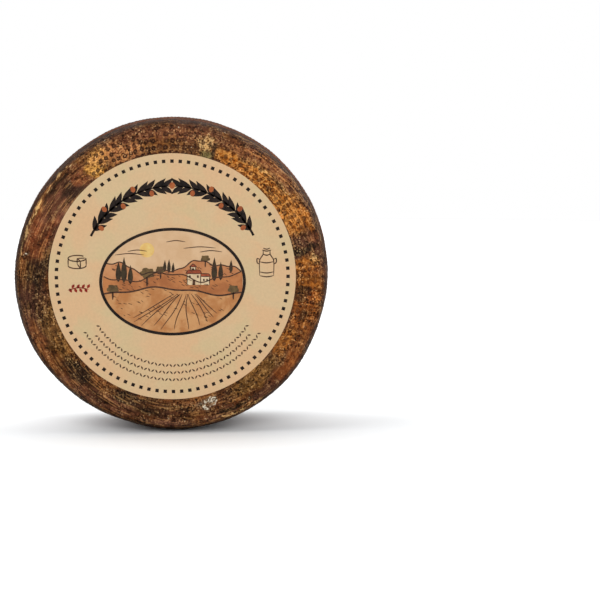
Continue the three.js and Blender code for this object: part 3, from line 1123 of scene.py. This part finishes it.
def print_label():
    """The label's print, layer over layer; each ink has two paints, and the size of its pools in metres."""
    black = ink_finish("border_ink", (24, 17, 14), (44, 33, 28))
    brown = ink_finish("pen_ink", (58, 40, 32), (92, 64, 48))
    sky = [blob(PANEL, PANEL_WIDE, PANEL_TALL, corners=128)]
    sun = [blob(PANEL + (-16, 20), 4.6, 4.6, corners=32)]
    roofs = [np.array(roof) + HOUSE for roof in ROOFS]
    for name, outlines, layer, *ink in (
        ("picture_sky", sky, 1, "sky_wash", (226, 190, 150), (216, 176, 134), 0.016),
        ("pale_sun", sun, 2, "sun_wash", (236, 206, 130), (230, 186, 110)),
        (FAR, [hill(FAR)], 2, "far_wash", (206, 146, 100), (190, 124, 80), 0.012),
        (MIDDLE, [hill(MIDDLE)], 3, "middle_wash", (196, 128, 78), (168, 104, 62), 0.011),
        (NEAR, [hill(NEAR)], 4, "field_wash", (210, 156, 104), (186, 124, 74), 0.010),
        ("house_walls", boxes(WALLS), 5, "wall_wash", (232, 208, 170), (214, 186, 148)),
        ("round_trees", round_trees(), 5, "tree_wash", (116, 92, 58), (88, 70, 46)),
        ("cypresses", cypresses(), 6, "cypress_wash", (70, 58, 40), (52, 40, 30)),
        ("house_roofs", roofs, 6, "roof_wash", (168, 84, 54), (140, 66, 44)),
    ):
        printed(name, outlines, layer, ink_finish(*ink))
    house_edges = [pen_line(np.array(edge) + HOUSE, FINE_LINE) for edge in EDGES]
    pen_work = itertools.chain(
        [ridge_line(FAR, LINE), ridge_line(MIDDLE, LINE), ridge_line(NEAR, BOLD_LINE)],
        furrows(), trunks(), house_edges, boxes(OPENINGS), clouds(), hatching(),
    )
    printed("pen_work", pen_work, 7, brown)
    picture_frame(7, black)
    printed("border_marks", border_marks(), 1, black)
    printed("garland_leaves", itertools.chain(garland_stem(), garland_leaves()), 1, black)
    printed("garland_olives", garland_olives(), 2, ink_finish("olive_wash", (176, 98, 54), (150, 76, 44)))
    printed("grain_marks", grain_marks(), 1, brown)
    printed("sketches", itertools.chain(cheese_sketch(), can_sketch()), 1, brown)
    printed("berry_sprig", berry_sprig(), 1, ink_finish("red_ink", (150, 46, 34), (128, 36, 28)))


# --- The set: floor, light and camera ---

CAMERA_DISTANCE = 1.2
CAMERA_ELEVATION = 4.62
CAMERA_PITCH = 5.527  # below level
CAMERA_YAW = 3.976  # to the right of the wheel
CAMERA_LENS = 110.25
WHITE = (1.0, 1.0, 1.0)
ROOM_FRONT, ROOM_BACK, ROOM_LOW = 0.05, 0.42, 0.3  # its light in front and behind, and the share low down
FLOOR_RADIUS = 2.5
FLOOR_LIT = (0.26, 0.26, 0.26)  # the floor's paint for the light that it throws back at the cheese
FLOOR_SHOWN = (0.94, 0.955, 0.965)  # its paint for the camera, because the photo shows it overexposed
# Lights by name: azimuth to the right of the camera, elevation, strength and spread, angles in degrees.
CHEESE_SUNS = [
    ("key", 26, 16, 1.98, 12),
    ("fill", -42, 10, 0.94, 50),
    ("edge", 125, 30, 0.5, 40),
    ("above", 180, 80, 0.28, 50),
]
FLOOR_SUNS = [
    ("floor_behind", 180, 40, 2.87, 120),
    ("floor_front", 0, 25, 1.4, 40),
    ("floor_left", -90, 40, 1.4, 60),
    ("floor_right", 90, 25, 0.45, 40),
]


def white_floor():
    bm = bmesh.new()
    bmesh.ops.create_circle(bm, cap_ends=True, segments=96, radius=FLOOR_RADIUS)
    r = Recipe(bpy.data.materials.new("floor_paint"))
    paint = r.mix(r.node("LightPath").outputs["Is Camera Ray"], FLOOR_LIT, FLOOR_SHOWN)
    floor = new_object("floor", bm, r.finish(paint, 0.9, Specular_IOR_Level=0.0))
    return floor


def soft_sun(floor, with_floor, name, azimuth, elevation, strength, spread):
    """A wide soft light on the floor alone (INCLUDE) or on everything but the floor (EXCLUDE)."""
    lamp = bpy.data.lights.new(name, "SUN")
    lamp.energy = strength
    lamp.angle = math.radians(spread)
    light = bpy.data.objects.new(name, lamp)
    bpy.context.scene.collection.objects.link(light)
    a, e = math.radians(azimuth), math.radians(elevation)
    towards = Vector((math.sin(a) * math.cos(e), -math.cos(a) * math.cos(e), math.sin(e)))
    light.rotation_euler = towards.to_track_quat("Z", "Y").to_euler()
    chosen = bpy.data.collections.new(name + "_choice")
    chosen.objects.link(floor)
    chosen.collection_objects[0].light_linking.link_state = with_floor
    light.light_linking.receiver_collection = chosen


def white_room():
    """The camera sees white. A dim room lights the cheese, paler above and behind it than in front."""
    world = bpy.data.worlds.new("white_room")
    bpy.context.scene.world = world
    r = Recipe(world)
    r.nodes.clear()
    _, back, up = r.split(r.node("TexCoord").outputs["Generated"])
    behind = r.ease(back, -0.8, 0.7, ROOM_FRONT, ROOM_BACK)
    above = r.ease(up, 0.0, 0.55, ROOM_LOW, 1.0)
    felt = r.node("Background", {"Color": WHITE, "Strength": r.times(behind, above)})
    seen = r.node("Background", {"Color": WHITE, "Strength": 1.0})
    ray = r.node("LightPath").outputs["Is Camera Ray"]
    choice = r.node("MixShader", {0: ray, 1: felt.outputs[0], 2: seen.outputs[0]})
    r.node("OutputWorld", {"Surface": choice.outputs[0]})


def photo_camera():
    data = bpy.data.cameras.new("camera")
    data.lens = CAMERA_LENS
    camera = bpy.data.objects.new("camera", data)
    bpy.context.scene.collection.objects.link(camera)
    tilt = math.radians(CAMERA_ELEVATION)
    back, up = CAMERA_DISTANCE * math.cos(tilt), CAMERA_DISTANCE * math.sin(tilt)
    camera.location = (AXIS_X * MM, -back, AXIS_Z * MM + up)
    camera.rotation_euler = (math.radians(90 - CAMERA_PITCH), 0, -math.radians(CAMERA_YAW))
    bpy.context.scene.camera = camera


floor = white_floor()
white_room()
for sun in CHEESE_SUNS:
    soft_sun(floor, "EXCLUDE", *sun)
for sun in FLOOR_SUNS:
    soft_sun(floor, "INCLUDE", *sun)
photo_camera()

cheese_skin(rind_finish())
paper_disc(paper_finish())
print_label()

bpy.context.scene.view_settings.view_transform = "Standard"
